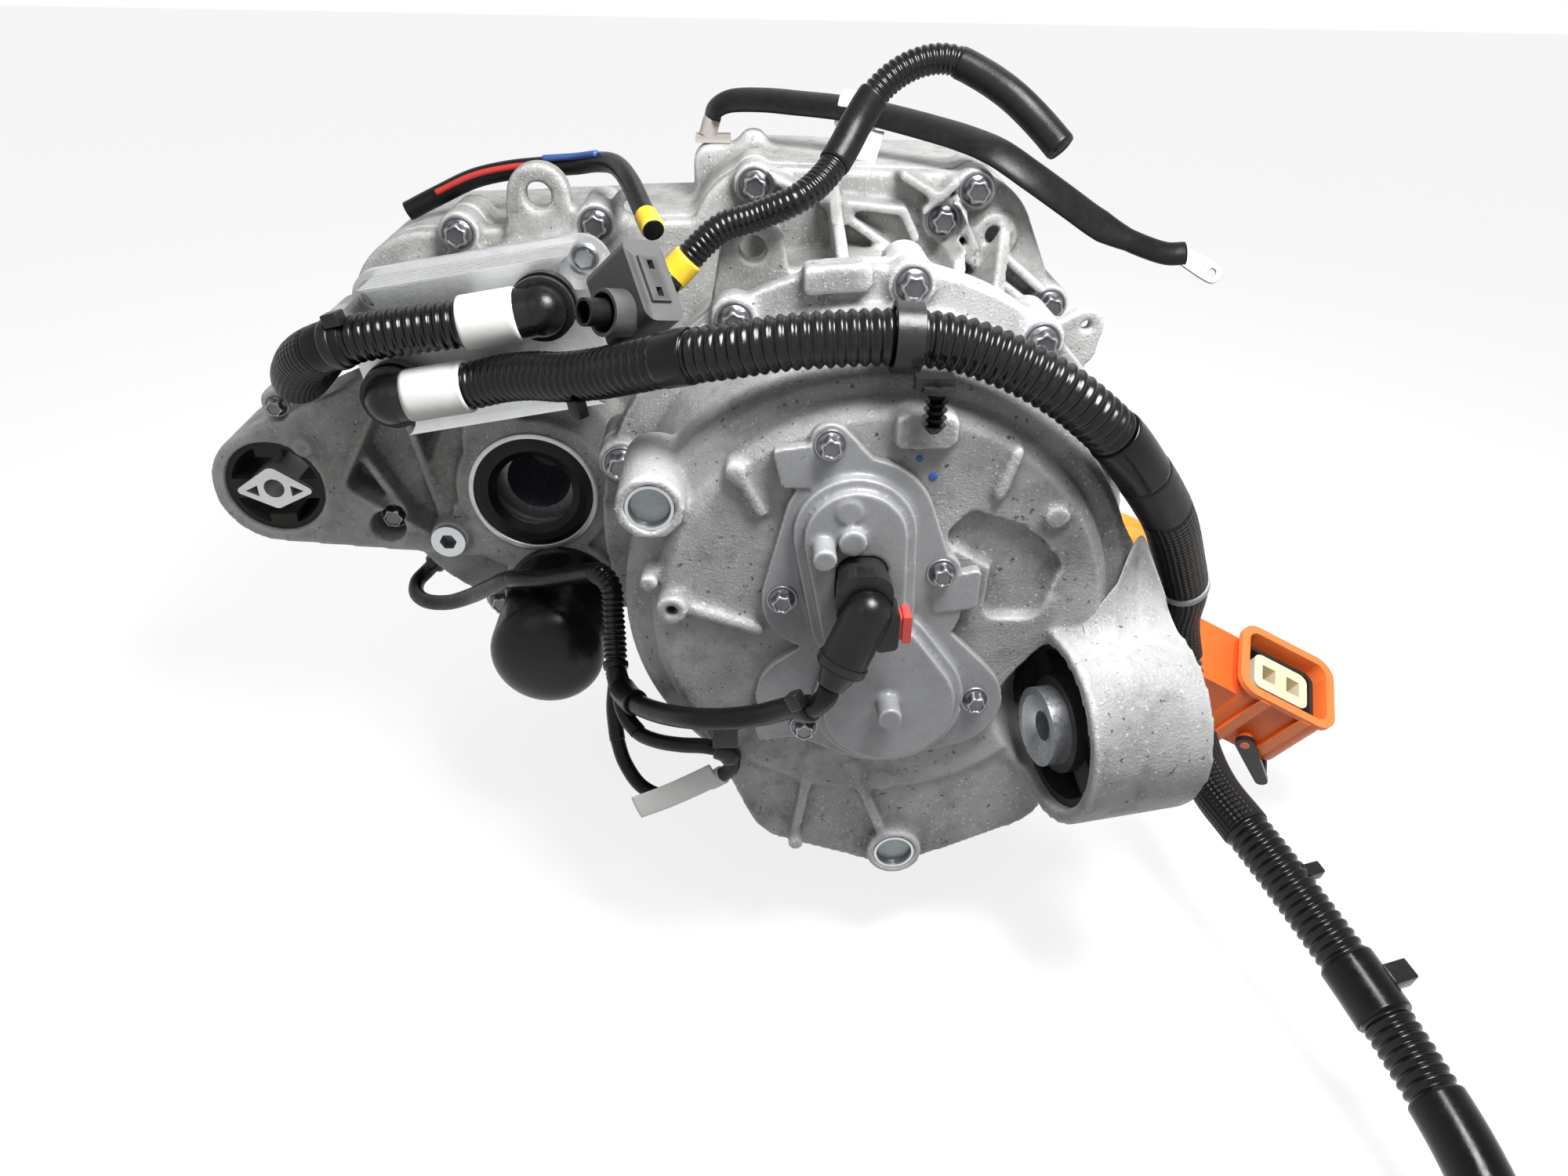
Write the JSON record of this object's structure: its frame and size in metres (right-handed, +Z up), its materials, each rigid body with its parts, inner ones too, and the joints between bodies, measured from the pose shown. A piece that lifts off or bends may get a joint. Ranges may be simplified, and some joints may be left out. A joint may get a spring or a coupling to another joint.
{
  "type": "electric drive unit",
  "caption": "Electric axle drive unit: motor, reduction gearbox and differential in one cast housing, with bush mounts, oil cooler, hoses and orange high-voltage lead.",
  "frame": {"origin": "centre of the bolt bore in the core of the arm bush", "axes": "+Y along the motor, layshaft and output axes towards the rear cover, +Z up, +X from the arm towards the motor"},
  "size_m": [0.6007, 0.5221, 0.3697],
  "materials": {
    "cast": "as cast, dusty",
    "cover_cast": "blasted",
    "bush_core": "extruded",
    "bolt_zinc": "zinc flake",
    "steel": "machined",
    "cooler_metal": "brazed",
    "lamination": "stacked sheet",
    "end_plate": "turned",
    "copper": "varnished copper",
    "sensor_coil": "potted",
    "rubber": "moulded",
    "black_plastic": "moulded",
    "filter_paint": "satin black",
    "grey_plastic": "moulded",
    "cord_black": "smooth",
    "hv_orange": "moulded",
    "hv_cable": "extruded",
    "cream_plastic": "moulded",
    "red_plastic": "moulded",
    "tinned": "tinned copper"
  },
  "bodies": {
    "housing": {"motor_housing": "cast", "gearbox_housing": "cast", "rear_cover": "cast", "hose_port": "cast", "sensor_cover": "cover_cast", "arm_bush_core": "bush_core", "sensor_cover_bolts": "bolt_zinc", "flange_bolts": "bolt_zinc", "case_bolts": "bolt_zinc", "cooler_screws": "bolt_zinc", "core_plugs": "steel", "drain_plug": "steel", "lug_bush_sleeve": "steel", "bearing_outer_rings": "steel", "oil_cooler": "cooler_metal", "stator_core": "lamination", "stator_windings": "copper", "sensor_ring": "sensor_coil", "arm_bush_rubber": "rubber", "lug_bush_rubber": "rubber", "front_output_seal": "rubber", "rear_output_seal": "rubber", "hv_seal": "rubber", "upper_elbow": "black_plastic", "lower_elbow": "black_plastic", "sensor_socket": "black_plastic", "sensor_plug": "black_plastic", "hose_clip": "black_plastic", "hose_fitting": "black_plastic", "hv_gland": "black_plastic", "harness_gland": "black_plastic", "oil_filter": "filter_paint", "harness_connector": "grey_plastic", "connector_pigtail": "cord_black", "coolant_hose": "cord_black", "upper_hose": "cord_black", "signal_conduit": "cord_black", "ground_strap": "cord_black", "sensor_harness": "cord_black", "harness_branch": "cord_black", "top_loom": "cord_black", "hv_connector": "hv_orange", "hv_cables": "hv_cable", "hv_insert": "cream_plastic", "strap_lug": "tinned", "strap_end_lug": "tinned"},
    "rotor": {"rotor_shaft": "steel", "rotor_core": "lamination", "rotor_end_plates": "end_plate", "sensor_target": "steel", "rotor_inner_rings": "steel"},
    "layshaft": {"layshaft": "steel", "layshaft_wheel": "steel", "layshaft_inner_rings": "steel"},
    "differential": {"differential_case": "cover_cast", "ring_gear": "steel", "ring_gear_bolts": "bolt_zinc", "differential_inner_rings": "steel"},
    "plug_lock": {"plug_lock": "red_plastic"},
    "hv_lever": {"hv_lever": "black_plastic"}
  },
  "joints": [
    {"name": "rotor_spin", "type": "hinge", "parent": "housing", "child": "rotor", "pos_m": [0.303, -0.075, 0.011], "axis": [0, 1, 0], "continuous": true},
    {"name": "layshaft_spin", "type": "hinge", "parent": "housing", "child": "layshaft", "pos_m": [0.21734, 0.025, 0.05091], "axis": [0, 1, 0], "continuous": true},
    {"name": "differential_spin", "type": "hinge", "parent": "housing", "child": "differential", "pos_m": [0.135, 0.045, -0.002], "axis": [0, 1, 0], "continuous": true},
    {"name": "plug_lock_slide", "type": "slide", "parent": "housing", "child": "plug_lock", "axis": [1, 0, 0], "range_m": [0, 0.004]},
    {"name": "hv_lever_swing", "type": "hinge", "parent": "housing", "child": "hv_lever", "pos_m": [0.52738, -0.06793, -0.11168], "axis": [-0.3207, -0.9041, -0.2823], "range_deg": [0, 35]}
  ],
  "couplings": [
    {"joint": "layshaft_spin", "follows": "rotor_spin", "ratio": -0.37705},
    {"joint": "differential_spin", "follows": "rotor_spin", "ratio": 0.11997}
  ]
}
